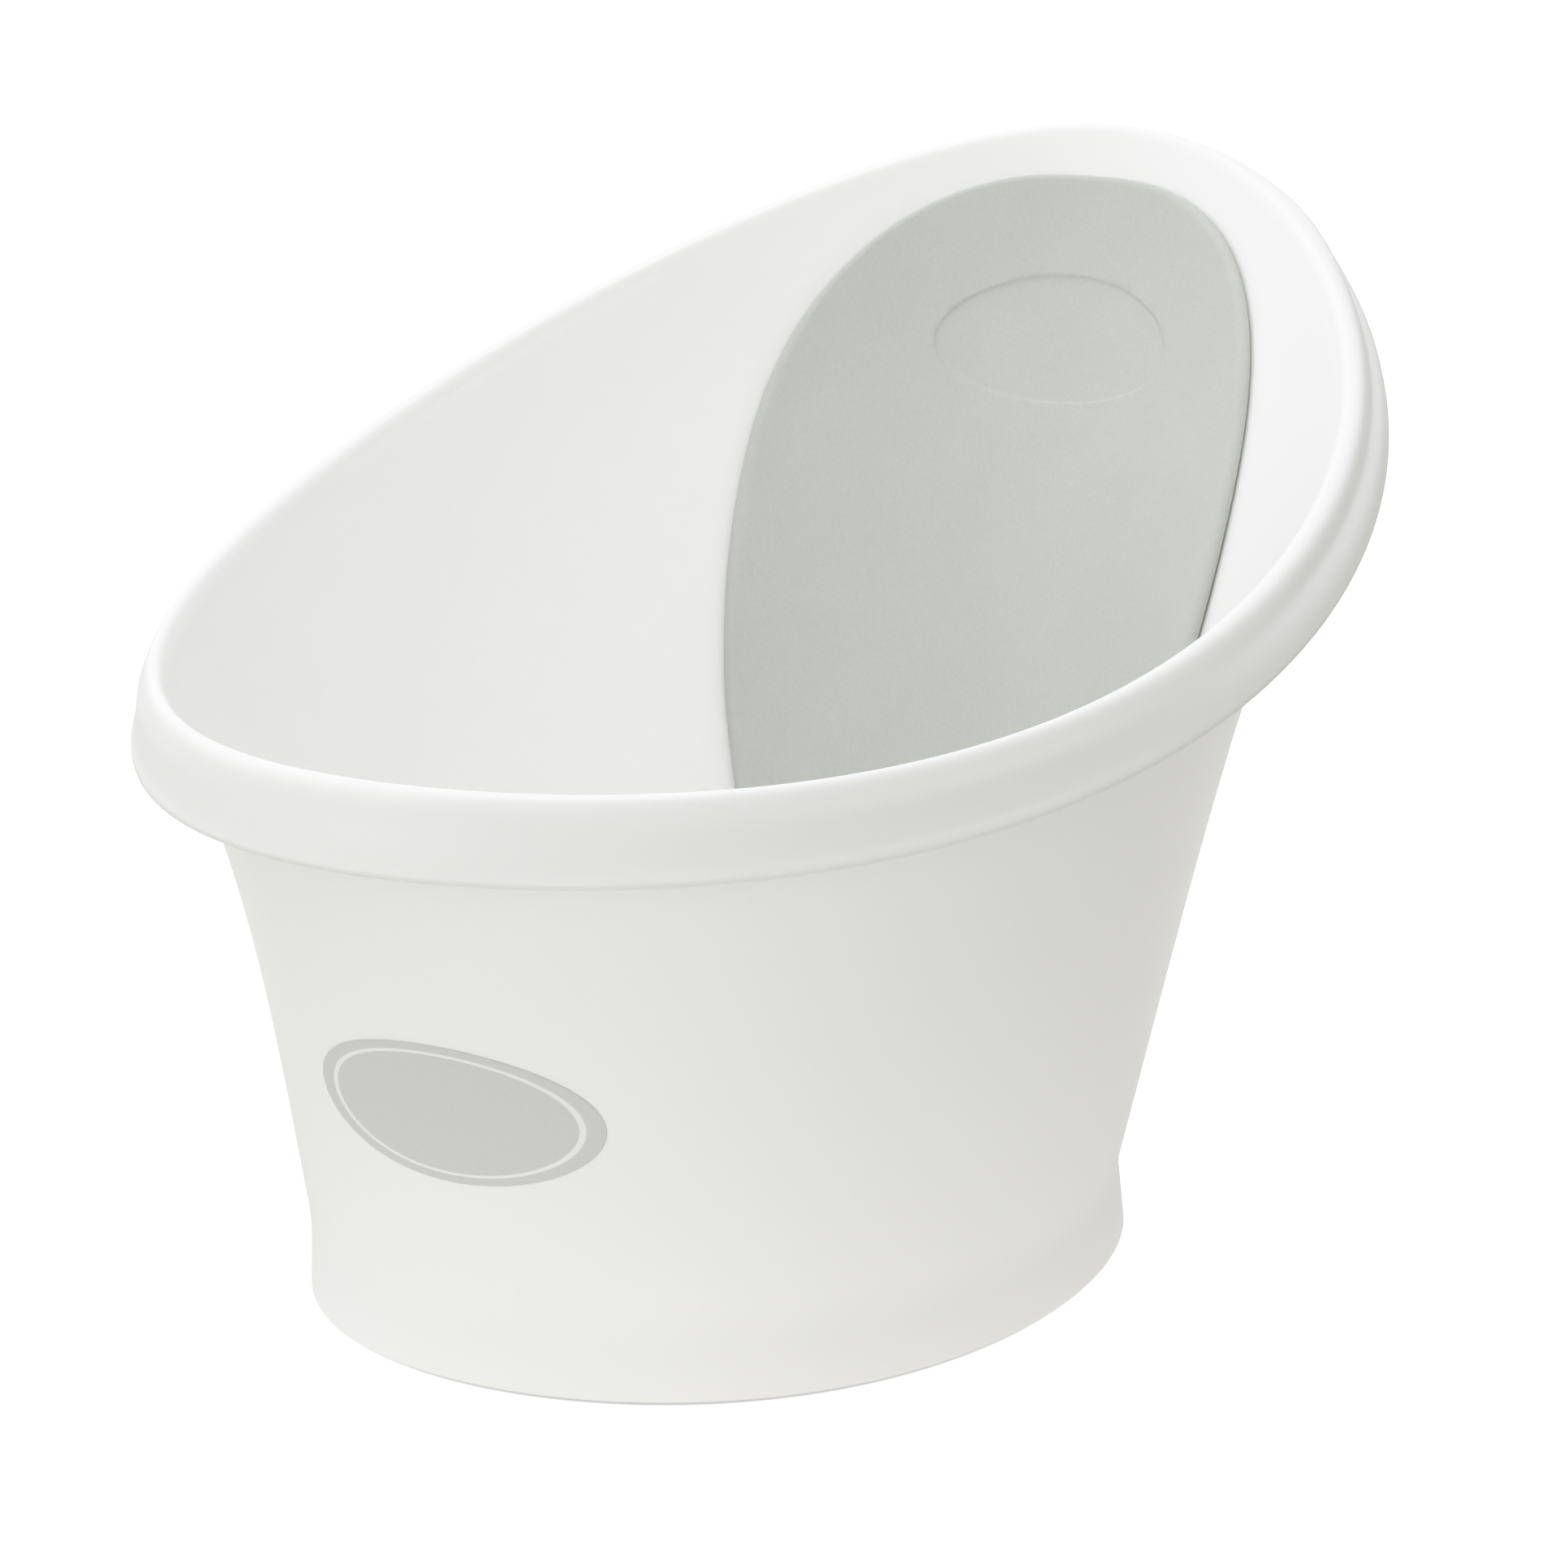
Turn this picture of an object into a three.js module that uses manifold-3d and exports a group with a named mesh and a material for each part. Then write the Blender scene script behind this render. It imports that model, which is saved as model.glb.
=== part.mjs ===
// Baby bathtub, sit-up newborn type: one thin moulded bowl with a raised head end, a rolled rim with a
// turned-down skirt, a soft foam backrest, a drain plug and four rubber feet.
// Millimetres. +Z is up, +X points to the tall head end, Y is the width.
// Origin: centre of the bounding box in plan, on the floor the feet stand on.
//
// "angle" runs round the tub from 0 at the head end to PI at the foot end.
// "rise" runs up the side wall from 0 at the base ring's top to 1 at the crest height.
import * as THREE from "three";
import { ParametricGeometry } from "three/addons/geometries/ParametricGeometry.js";
import { mergeVertices } from "three/addons/utils/BufferGeometryUtils.js";
import Module from "manifold-3d";

const wasm = await Module();
wasm.setup();

// ---------------------------------------------------------------- driving dimensions
// Coefficient lists are polynomials in cos(angle), constant term first, unless noted.
// widthShape leaves out the constant term, which is 1.
const RIM_OVAL = {
  centreX: -1.02,
  halfLength: 270.01,
  halfWidth: 193.68,
  widthShape: [-0.0496, -0.057, -0.04],
};
const BASE_OVAL = {
  centreX: -64.31,
  halfLength: 154.54,
  halfWidth: 140.53,
  widthShape: [-0.0144, 0.0538, -0.0105],
};

// Rim crest: 343.3 high at the head end, 232.9 at the foot end.
const RIM_HEIGHT = [256.04, 59.71, 30.27, -4.49, 1.81];
// Swells are smooth local rises; centre and spread are in degrees from the head end.
const RIM_SWELL = { amount: 2.4, centre: 118, spread: 24 }; // the oval fills out here
const SWELL_LIFT = 0.09; // crest height gained per mm of rim swell

// Skirt under the rim: how far it stands out from the crest and how far it drops.
const SKIRT_OUT = [14.44, 1.02, -3.45];
const SKIRT_DROP = [24.21, -6.63, -0.74];
const SKIRT_TUCK = { amount: 1.2, centre: 150, spread: 24 }; // stands out less here

// The rolled arch of the rim scales with the skirt, relative to a reference skirt.
const ARCH_WIDTH = { factor: 1.12, skirtOut: 14, power: 0.6 };
const ARCH_DEPTH = { skirtDrop: 24, power: 0.7 };
const ARCH_WIDEN = { amount: 0.4, centre: 30, spread: 12 }; // fraction added to the width here

// Rim profiles as [out, up] from the crest line.
const CREST_PROFILE = [[-3.3, -3.6], [-1.7, -0.9], [0.8, 0]];
const ARCH_PROFILE = [[3.3, -0.85], [5.1, -2.7], [6.3, -5.6], [7, -9]]; // times the arch scales
// Skirt's lower edge with its small bead, as [out, up] from the skirt's outermost lower corner.
const BEAD_PROFILE = [[-0.8, 3.6], [0, 2.6], [0, 0.6], [-0.6, 0], [-2.8, 0]];
// Underside of the arch: [out times arch width, added out, up times arch depth, added up].
const ARCH_UNDERSIDE = [[7, -2.8, -9, -1], [5.6, -2, -6.4, 0], [2.9, 0, 0, -4.8]];

// Side wall: how it bellies between the ring and the rim.
const WALL = 2.8; // moulded wall thickness
const WALL_BELLY = [0.4937, -0.485, -0.2223];
const WALL_S_CURVE = [0.4008, -0.3879];
const WALL_TOP_OUT = 1.4; // the outer wall face meets the rim this far outside the crest line
const INNER_WALL_DROP = 8; // the inner wall ends this far below the crest
const OUTER_WALL_DROP = 8.5; // and the outer wall this far
const INNER_WALL_STATIONS = [0.18, 0.38, 0.58, 0.78, 1];
const OUTER_WALL_STATIONS = [1, 0.86, 0.7, 0.54, 0.4, 0.27, 0.14, 0];

// Base ring.
const RING_BOTTOM_Z = 1.5; // the feet lift the ring this far off the floor
const RING_TOP_Z = 27.07;
const RING_DRAFT = 1.6; // the ring flares out by this much from its top to its foot

// Tub floor and its raised seat stop.
const FLOOR_TOP_Z = 15;
const FLOOR_UNDER_Z = FLOOR_TOP_Z - WALL;
const FLOOR_FILLET = 22;
const FILLET_RISE = 0.07; // the fillet ends at this rise on the wall
const FILLET_STATIONS = [0.25, 0.5, 0.75, 1];
const FLOOR_STATIONS = [0, 0.13, 0.26, 0.4, 0.56, 1]; // fractions from centre to fillet
const BUMP = { x: -70, halfLength: 36, halfWidth: 64, height: 30 };
// Foot of the ring and its inner face, as [out from the base oval, z].
const RING_PROFILE = [
  [0, RING_BOTTOM_Z + 0.9],
  [-0.8, RING_BOTTOM_Z],
  [-3.4, RING_BOTTOM_Z],
  [-4.6, FLOOR_UNDER_Z - 1.5],
  [-6.5, FLOOR_UNDER_Z],
];

const AROUND = 64; // facets round the tub
const END_CROWDING = 0.07; // draws the facets together at the two tight ends

// Drain.
const DRAIN_X = -156;
const DRAIN_HOLE_R = 12.5;
const DRAIN_SEAT_R = 20;
const DRAIN_SEAT_Z = 13.2;
const DRAIN_BOSS_R = 24;
const DRAIN_BOSS_Z = 9;
const DRAIN_BOSS_SINK = 0.5; // the boss stops this far below the seat
const DRAIN_CUT_TOP_Z = 20; // clear of the tub floor
const DRAIN_SEGMENTS = 32;

// Drain plug and its pull tab. Tab heights are above the tab's root.
const PLUG_GAP = 0.4;
const PLUG_TOP_Z = 15.8;
const TAB = {
  halfRoot: 8,
  shoulderZ: 6,
  tipR: 7.2,
  tipZ: 7.4,
  holeR: 3.6,
  holeZ: 7.2,
  thickness: 3.2,
  sink: 0.6, // root depth below the plug's top
};

// Feet.
const FOOT_SPOTS = [
  ["foot_head_left", 10, 82],
  ["foot_head_right", 10, -82],
  ["foot_end_left", -138, 82],
  ["foot_end_right", -138, -82],
];
const FOOT_R = 11;
const FOOT_STEM_R = 3.2;
const FOOT_BOSS_Z = 5;
const FOOT_BOSS_MARGIN = 1.5; // boss radius beyond the foot's
const FOOT_BOSS_SINK = 1.4; // the boss stops this far below the floor's top
const FOOT_BOSS_GAP = 0.3;
const FOOT_HOLE_R = 3.5;
const FOOT_HOLE_TOP_Z = 11;
const FOOT_STEM_GAP = 0.4; // between the stem's top and the hole's

// Backrest pad and its bonding film. Depths are measured inwards from the outer wall face.
const FILM_GAP = 0.6;
const FILM = 0.4;
const FILM_BACK = WALL + FILM_GAP;
const PAD_BACK = FILM_BACK + FILM + FILM_GAP;
const PAD = 4.5;
const PAD_EDGE_R = 2.5;
const PAD_Y = 1.9; // the pad sits this far off the centre plane
// Pad outline: [z, half-width].
const PAD_OUTLINE = [
  [30, 39.6], [34, 48.4], [42, 55.2], [62, 63.5], [90, 72.6], [116.5, 80.4], [146.6, 88.6],
  [176, 94.1], [201, 97.2], [225, 98.6], [245, 98.3], [262, 96.2], [279, 91.4], [293, 84.3],
  [305, 74.6], [314, 63], [321, 48.3], [325.4, 31.7], [326.8, 18.4],
];
const FILM_HEIGHTS = [44, 64, 90, 116.5, 146.6, 176, 201, 225, 245, 262, 279, 293, 305, 312];
const FILM_INSET = 12;
const FILM_TAPER = { aboveZ: 270, slope: 0.3 }; // extra inset per mm of height near the top

// Oval badge on the outer wall at the foot end.
const BADGE = { y: 10, z: 103, halfWidth: 59, halfHeight: 25.5, lift: 0.55, thickness: 0.4 };
const BADGE_ROW_DEGREES = [-78, -55, -28, 0, 28, 55, 78];

const SHEET_COLUMNS = 14;
const SHEET_SWEEP = 1.3; // radians of sine that draw the columns together at the sides

// ---------------------------------------------------------------- the tub's surfaces
const polynomial = (value, coefficients) =>
  coefficients.reduce((sum, coefficient, power) => sum + coefficient * value ** power, 0);

// A point on an oval, with its outward direction in plan.
function ovalPoint(angle, { centreX, halfLength, halfWidth, widthShape: shape }) {
  const c = Math.cos(angle);
  const s = Math.sin(angle);
  const width = 1 + shape[0] * c + shape[1] * c * c + shape[2] * c ** 3;
  const widthSlope = -s * (shape[0] + 2 * shape[1] * c + 3 * shape[2] * c * c);
  const tangentX = -halfLength * s;
  const tangentY = halfWidth * (c * width + s * widthSlope);
  const length = Math.hypot(tangentX, tangentY);
  return {
    x: centreX + halfLength * c,
    y: halfWidth * s * width,
    outX: tangentY / length,
    outY: -tangentX / length,
  };
}

// A point moved outwards in plan and placed at a height.
const offsetPoint = (point, out, z) =>
  new THREE.Vector3(point.x + out * point.outX, point.y + out * point.outY, z);

// The same on both sides of the tub.
function swellAt(angle, { amount, centre, spread }) {
  const degrees = (Math.acos(Math.cos(angle)) * 180) / Math.PI;
  return amount * Math.exp(-(((degrees - centre) / spread) ** 2));
}

function crestPoint(angle) {
  const oval = ovalPoint(angle, RIM_OVAL);
  const swell = swellAt(angle, RIM_SWELL);
  return {
    ...oval,
    x: oval.x + swell * oval.outX,
    y: oval.y + swell * oval.outY,
    z: polynomial(Math.cos(angle), RIM_HEIGHT) + SWELL_LIFT * swell,
  };
}

// Outer face of the side wall.
function wallFace(angle, rise) {
  const c = Math.cos(angle);
  const crest = crestPoint(angle);
  const bottom = offsetPoint(ovalPoint(angle, BASE_OVAL), -RING_DRAFT, RING_TOP_Z);
  const top = offsetPoint(crest, WALL_TOP_OUT, crest.z);
  const belly = polynomial(c, WALL_BELLY) * rise * (rise - 1);
  const sCurve = polynomial(c, WALL_S_CURVE) * rise * (rise - 1) * (rise - 0.5);
  const across = rise + belly + sCurve;
  return new THREE.Vector3(
    bottom.x + (top.x - bottom.x) * across,
    bottom.y + (top.y - bottom.y) * across,
    RING_TOP_Z + (crest.z - RING_TOP_Z) * rise,
  );
}

// A point at a depth inside the outer wall face, measured square to it.
function wallDepth(angle, rise, depth) {
  const step = 1e-3;
  const around = wallFace(angle + step, rise).sub(wallFace(angle - step, rise));
  const up = wallFace(angle, rise + step).sub(wallFace(angle, rise - step));
  return wallFace(angle, rise).addScaledVector(around.cross(up).normalize(), -depth);
}

// The rise at which the wall is a given drop below the crest.
const riseBelow = (angle, drop) => 1 - drop / (crestPoint(angle).z - RING_TOP_Z);

function bumpHeight(x, y) {
  const q = ((x - BUMP.x) / BUMP.halfLength) ** 2 + (y / BUMP.halfWidth) ** 2;
  return q < 1 ? BUMP.height * (1 - q) ** 2 : 0;
}

function floorPoint(fraction, z, edge) {
  const x = BASE_OVAL.centreX + (edge.x - BASE_OVAL.centreX) * fraction;
  const y = edge.y * fraction;
  return new THREE.Vector3(x, y, z + bumpHeight(x, y));
}

// ---------------------------------------------------------------- section of the tub
// Over the crest, down the skirt and back under the arch to the outer wall.
function rimSection(angle) {
  const c = Math.cos(angle);
  const crest = crestPoint(angle);
  const skirtOut =
    polynomial(c, SKIRT_OUT) - swellAt(angle, RIM_SWELL) - swellAt(angle, SKIRT_TUCK);
  const skirtDrop = polynomial(c, SKIRT_DROP);
  const width =
    ARCH_WIDTH.factor *
    (skirtOut / ARCH_WIDTH.skirtOut) ** ARCH_WIDTH.power *
    (1 + swellAt(angle, ARCH_WIDEN));
  const depth = (skirtDrop / ARCH_DEPTH.skirtDrop) ** ARCH_DEPTH.power;
  const profile = [
    ...CREST_PROFILE,
    ...ARCH_PROFILE.map(([out, up]) => [out * width, up * depth]),
    ...BEAD_PROFILE.map(([out, up]) => [skirtOut + out, up - skirtDrop]),
    ...ARCH_UNDERSIDE.map(([out, addOut, up, addUp]) => [
      out * width + addOut,
      up * depth + addUp,
    ]),
  ];
  return profile.map(([out, up]) => offsetPoint(crest, out, crest.z + up));
}

// From the centre of the floor's top, over the rim, to the centre of its underside.
function tubSection(angle) {
  const base = ovalPoint(angle, BASE_OVAL);
  const corner = wallDepth(angle, 0, WALL).setZ(FLOOR_TOP_Z);
  const edge = offsetPoint({ ...base, x: corner.x, y: corner.y }, -FLOOR_FILLET, FLOOR_TOP_Z);
  const filletTop = wallDepth(angle, FILLET_RISE, WALL);
  const fillet = new THREE.QuadraticBezierCurve3(edge, corner, filletTop);
  const innerSpan = riseBelow(angle, INNER_WALL_DROP) - FILLET_RISE;
  const outerSpan = riseBelow(angle, OUTER_WALL_DROP);
  const underStations = FLOOR_STATIONS.slice(0, -1).reverse();
  return [
    ...FLOOR_STATIONS.map((f) => floorPoint(f, FLOOR_TOP_Z, edge)),
    ...FILLET_STATIONS.map((f) => fillet.getPoint(f)),
    ...INNER_WALL_STATIONS.map((f) => wallDepth(angle, FILLET_RISE + innerSpan * f, WALL)),
    ...rimSection(angle),
    ...OUTER_WALL_STATIONS.map((f) => wallFace(angle, outerSpan * f)),
    ...RING_PROFILE.map(([out, z]) => offsetPoint(base, out, z)),
    ...underStations.map((f) => floorPoint(f, FLOOR_UNDER_Z, edge)),
  ];
}

// ---------------------------------------------------------------- solids
// A solid from equal-length lists of points: loops[j] is one list. Either the lists or the points
// in each list wrap round, as pointAt(column, row) decides; columns always wrap.
function gridSolid(pointAt, columns, rows) {
  const place = (u, v, target) =>
    target.copy(pointAt(Math.round(u * columns) % columns, Math.round(v * rows)));
  return toSolid(new ParametricGeometry(place, columns, rows));
}

function toSolid(geometry) {
  const bare = new THREE.BufferGeometry();
  bare.setAttribute("position", geometry.getAttribute("position"));
  if (geometry.index) bare.setIndex(geometry.index);
  const merged = mergeVertices(bare, 1e-3);
  const index = merged.index.array;
  const faces = [];
  for (let i = 0; i < index.length; i += 3) {
    const [a, b, c] = index.slice(i, i + 3);
    if (a !== b && b !== c && c !== a) faces.push([a, b, c]);
  }
  const build = (triangles) =>
    new wasm.Manifold(
      new wasm.Mesh({
        numProp: 3,
        vertProperties: new Float32Array(merged.attributes.position.array),
        triVerts: Uint32Array.from(triangles.flat()),
      }),
    );
  const solid = build(faces);
  // A negative volume means the faces point inwards.
  return solid.volume() > 0 ? solid : build(faces.map(([a, b, c]) => [b, a, c]));
}

function toGeometry(solid) {
  const mesh = solid.getMesh();
  const geometry = new THREE.BufferGeometry();
  const positions = new Float32Array(mesh.vertProperties);
  geometry.setAttribute("position", new THREE.BufferAttribute(positions, 3));
  geometry.setIndex(new THREE.BufferAttribute(new Uint32Array(mesh.triVerts), 1));
  geometry.computeVertexNormals();
  return geometry;
}

// A vertical cylinder between two heights.
function upright(radius, bottomZ, topZ, x, y, segments) {
  const geometry = new THREE.CylinderGeometry(radius, radius, topZ - bottomZ, segments);
  geometry.rotateX(Math.PI / 2);
  geometry.translate(x, y, (bottomZ + topZ) / 2);
  return toSolid(geometry);
}

// A solid turned about Z from [radius, z] points.
function lathed(profile, segments) {
  const points = profile.map(([radius, z]) => new THREE.Vector2(radius, z));
  return toSolid(new THREE.LatheGeometry(points, segments).rotateX(Math.PI / 2));
}

// Newton's method: the [angle, rise] whose point at a depth has a given y and z.
function locate(y, z, depth, startAngle) {
  const step = 1e-4;
  const limit = (change) => Math.max(-0.3, Math.min(0.3, change));
  let angle = startAngle;
  let rise = 0.5;
  for (let i = 0; i < 40; i++) {
    const here = wallDepth(angle, rise, depth);
    const around = wallDepth(angle + step, rise, depth).sub(here).divideScalar(step);
    const up = wallDepth(angle, rise + step, depth).sub(here).divideScalar(step);
    const errorY = here.y - y;
    const errorZ = here.z - z;
    const determinant = around.y * up.z - up.y * around.z;
    angle += limit((errorZ * up.y - errorY * up.z) / determinant);
    rise += limit((errorY * around.z - errorZ * around.y) / determinant);
    if (Math.abs(errorY) + Math.abs(errorZ) < 1e-6) break;
  }
  return [angle, rise];
}

// A sheet that follows the wall: rows of [z, half-width], between a back depth next to the wall and
// a face depth away from it. easeR rounds the edge of the face.
function sheet({ rows, centreY, faceDepth, backDepth, easeR = 0, startAngle }) {
  const columns = Array.from(
    { length: SHEET_COLUMNS + 1 },
    (_, k) => Math.sin((-1 + (2 * k) / SHEET_COLUMNS) * SHEET_SWEEP) / Math.sin(SHEET_SWEEP),
  );
  const lowZ = rows[0][0];
  const highZ = rows.at(-1)[0];
  // One loop across the face and back; a closed loop has both runs on the back.
  const loop = ([z, halfWidth], closed) => {
    const face = [];
    const back = [];
    for (const column of columns) {
      const [angle, rise] = locate(centreY + column * halfWidth, z, faceDepth, startAngle);
      const inset = Math.min(halfWidth * (1 - Math.abs(column)), z - lowZ, highZ - z);
      const eased = Math.sqrt(Math.max(0, easeR ** 2 - (easeR - inset) ** 2));
      const drop = inset < easeR ? easeR - eased : 0;
      back.push(wallDepth(angle, rise, backDepth));
      face.push(wallDepth(angle, rise, closed ? backDepth : faceDepth - drop));
    }
    return [...face, ...back.reverse()];
  };
  const loops = [
    loop(rows[0], true),
    ...rows.map((row) => loop(row, false)),
    loop(rows.at(-1), true),
  ];
  return gridSolid((column, row) => loops[row][column], loops[0].length, loops.length - 1);
}

// ---------------------------------------------------------------- pieces
function buildTub() {
  const sections = Array.from({ length: AROUND }, (_, i) => {
    const even = (2 * Math.PI * i) / AROUND;
    return tubSection(even - END_CROWDING * Math.sin(2 * even));
  });
  const drain = (radius, bottomZ, topZ) =>
    upright(radius, bottomZ, topZ, DRAIN_X, 0, DRAIN_SEGMENTS);
  let tub = gridSolid((column, row) => sections[column][row], AROUND, sections[0].length - 1)
    .add(drain(DRAIN_BOSS_R, DRAIN_BOSS_Z, DRAIN_SEAT_Z - DRAIN_BOSS_SINK))
    .subtract(drain(DRAIN_SEAT_R, DRAIN_SEAT_Z, DRAIN_CUT_TOP_Z))
    .subtract(drain(DRAIN_HOLE_R, 0, DRAIN_CUT_TOP_Z));
  const bossR = FOOT_R + FOOT_BOSS_MARGIN;
  for (const [, x, y] of FOOT_SPOTS) {
    tub = tub
      .add(upright(bossR, FOOT_BOSS_Z, FLOOR_TOP_Z - FOOT_BOSS_SINK, x, y, 24))
      .subtract(upright(FOOT_HOLE_R, 0, FOOT_HOLE_TOP_Z, x, y, 16));
  }
  return tub;
}

function buildPad() {
  return sheet({
    rows: PAD_OUTLINE,
    centreY: PAD_Y,
    faceDepth: PAD_BACK + PAD,
    backDepth: PAD_BACK,
    easeR: PAD_EDGE_R,
    startAngle: 0,
  });
}

function padHalfWidth(z) {
  const next = PAD_OUTLINE.findIndex(([height]) => height >= z);
  const [z0, width0] = PAD_OUTLINE[next - 1];
  const [z1, width1] = PAD_OUTLINE[next];
  return width0 + ((width1 - width0) * (z - z0)) / (z1 - z0);
}

function buildFilm() {
  const rows = FILM_HEIGHTS.map((z) => {
    const taper = Math.max(0, z - FILM_TAPER.aboveZ) * FILM_TAPER.slope;
    return [z, padHalfWidth(z) - FILM_INSET - taper];
  });
  return sheet({
    rows,
    centreY: PAD_Y,
    faceDepth: FILM_BACK + FILM,
    backDepth: FILM_BACK,
    startAngle: 0,
  });
}

function buildBadge() {
  const rows = BADGE_ROW_DEGREES.map((degrees) => {
    const turn = THREE.MathUtils.degToRad(degrees);
    return [BADGE.z + BADGE.halfHeight * Math.sin(turn), BADGE.halfWidth * Math.cos(turn)];
  });
  return sheet({
    rows,
    centreY: BADGE.y,
    faceDepth: -(BADGE.lift + BADGE.thickness),
    backDepth: -BADGE.lift,
    startAngle: Math.PI,
  });
}

// Upright pull tab with a finger hole, lying in the YZ plane.
function buildTab() {
  const shape = new THREE.Shape();
  shape.moveTo(-TAB.halfRoot, 0);
  shape.lineTo(TAB.halfRoot, 0);
  shape.lineTo(TAB.tipR, TAB.shoulderZ);
  shape.absarc(0, TAB.tipZ, TAB.tipR, 0, Math.PI, false);
  shape.lineTo(-TAB.halfRoot, 0);
  const hole = new THREE.Path();
  hole.absarc(0, TAB.holeZ, TAB.holeR, 0, 2 * Math.PI, true);
  shape.holes.push(hole);
  const geometry = new THREE.ExtrudeGeometry(shape, {
    depth: TAB.thickness,
    bevelEnabled: false,
    curveSegments: 8,
  });
  geometry.rotateX(Math.PI / 2);
  geometry.rotateZ(Math.PI / 2);
  geometry.translate(-TAB.thickness / 2, 0, PLUG_TOP_Z - TAB.sink);
  return toSolid(geometry);
}

// Tapered stopper with a sealing flange and the pull tab.
function buildPlug() {
  const flangeR = DRAIN_SEAT_R - PLUG_GAP;
  const flangeZ = DRAIN_SEAT_Z + PLUG_GAP;
  const profile = [
    [0, 9.6],
    [10.6, 9.6],
    [11.4, 10.2],
    [DRAIN_HOLE_R - PLUG_GAP, flangeZ],
    [flangeR, flangeZ],
    [flangeR, PLUG_TOP_Z - 0.8],
    [flangeR - 1, PLUG_TOP_Z],
    [0, PLUG_TOP_Z],
  ];
  return lathed(profile, 32).add(buildTab());
}

// Button with bevelled edges and a stem that presses up into the boss.
function buildFoot() {
  const buttonTopZ = FOOT_BOSS_Z - FOOT_BOSS_GAP;
  const stemTopZ = FOOT_HOLE_TOP_Z - FOOT_STEM_GAP;
  const profile = [
    [0, 0],
    [FOOT_R - 1.2, 0],
    [FOOT_R, 1.2],
    [FOOT_R, buttonTopZ - 0.6],
    [FOOT_R - 0.6, buttonTopZ],
    [FOOT_STEM_R, buttonTopZ],
    [FOOT_STEM_R, stemTopZ - 0.8],
    [FOOT_STEM_R - 0.8, stemTopZ],
    [0, stemTopZ],
  ];
  return lathed(profile, 20);
}

// ---------------------------------------------------------------- materials and assembly
const matt = (color, roughness) =>
  new THREE.MeshStandardMaterial({ color, roughness, metalness: 0 });
const whiteMoulding = matt(0xf0f1ef, 0.35);
const greyFoam = matt(0xc3c7c0, 0.9);
const bondingFilm = matt(0xe4e4e0, 0.6);
const greyPrint = matt(0xcbcbcb, 0.5);
const greySilicone = matt(0xb4b8b2, 0.6);
const footRubber = matt(0x9aa09b, 0.8);

const bath = new THREE.Group();
function addPiece(name, solid, material, x = 0, y = 0) {
  const mesh = new THREE.Mesh(toGeometry(solid), material);
  mesh.name = name;
  mesh.position.set(x, y, 0);
  bath.add(mesh);
}
addPiece("tub_shell", buildTub(), whiteMoulding);
addPiece("backrest_pad", buildPad(), greyFoam);
addPiece("backrest_adhesive", buildFilm(), bondingFilm);
addPiece("front_badge", buildBadge(), greyPrint);
addPiece("drain_plug", buildPlug(), greySilicone, DRAIN_X);
const foot = buildFoot();
for (const [name, x, y] of FOOT_SPOTS) addPiece(name, foot, footRubber, x, y);

export default bath;
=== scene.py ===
# A baby bath tub with a padded backrest, a drain plug, four feet and an oval badge.
# It stands on Z = 0 with its length along X: head end and backrest at +X, foot end and badge at -X.
# Angles round the tub start at the head end and turn towards +Y. Shapes are in millimetres.
import math

import bmesh
import bpy
import numpy as np
from mathutils import Matrix, Vector


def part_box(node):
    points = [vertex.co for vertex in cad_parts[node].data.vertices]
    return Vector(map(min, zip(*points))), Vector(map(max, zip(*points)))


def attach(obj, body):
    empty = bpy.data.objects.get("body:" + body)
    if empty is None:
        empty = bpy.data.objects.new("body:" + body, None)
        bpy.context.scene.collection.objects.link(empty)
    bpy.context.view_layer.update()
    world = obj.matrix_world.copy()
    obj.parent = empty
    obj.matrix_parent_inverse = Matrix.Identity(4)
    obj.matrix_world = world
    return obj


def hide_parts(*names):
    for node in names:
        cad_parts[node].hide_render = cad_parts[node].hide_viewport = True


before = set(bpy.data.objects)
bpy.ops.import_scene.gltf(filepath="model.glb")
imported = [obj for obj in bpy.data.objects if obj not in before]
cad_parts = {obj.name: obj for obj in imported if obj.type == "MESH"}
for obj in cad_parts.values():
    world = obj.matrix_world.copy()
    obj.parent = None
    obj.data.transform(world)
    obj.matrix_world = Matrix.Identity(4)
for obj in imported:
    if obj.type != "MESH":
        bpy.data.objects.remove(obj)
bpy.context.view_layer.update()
scene = bpy.context.scene
MM = 0.001

# ---------------------------------------------------------------- driving dimensions
# Ovals: centre x, half length, half width, and the width's coefficients in powers 1 to 3 of
# cos(angle). Other coefficient tuples are in powers of cos(angle) from 0 up.
RIM_CX, RIM_A, RIM_B = -1.02, 270.01, 193.68
RIM_SHAPE = (-0.0496, -0.057, -0.04)
RIM_Z = (256.04, 59.71, 30.27, -4.49, 1.81)
BASE_CX, BASE_A, BASE_B = -64.31, 154.54, 140.53
BASE_SHAPE = (-0.0144, 0.0538, -0.0105)
# local changes: amount, degrees from the head end, spread in degrees
RIM_SWELL, SKIRT_TUCK, ARCH_WIDEN = (2.4, 118, 24), (1.2, 150, 24), (0.4, 30, 12)
SHOULDER_TIGHT = (1.0, 125, 32)
SWELL_LIFT = 0.09                     # rim height gained per unit of swell
SKIRT_OUT = (14.44, 1.02, -3.45)      # skirt's reach outside the rim line
SKIRT_DROP = (24.21, -6.63, -0.74)    # skirt's lower edge below the crest
RING_BOTTOM, RING_TOP, RING_DRAFT = 1.5, 27.07, 1.6
RING_HEIGHT = RING_TOP - RING_BOTTOM
WALL_BELLY = (0.4937, -0.485, -0.2223)
WALL_WAVE = (0.4008, -0.3879)
WALL_TOP_OUT, WALL = 1.4, 2.8
RIM_DEPTH = 8.0                       # plain wall ends this far below the crest
FLOOR_TOP, FLOOR_FILLET = 15.0, 22.0
FLOOR_UNDER = FLOOR_TOP - WALL
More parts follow.
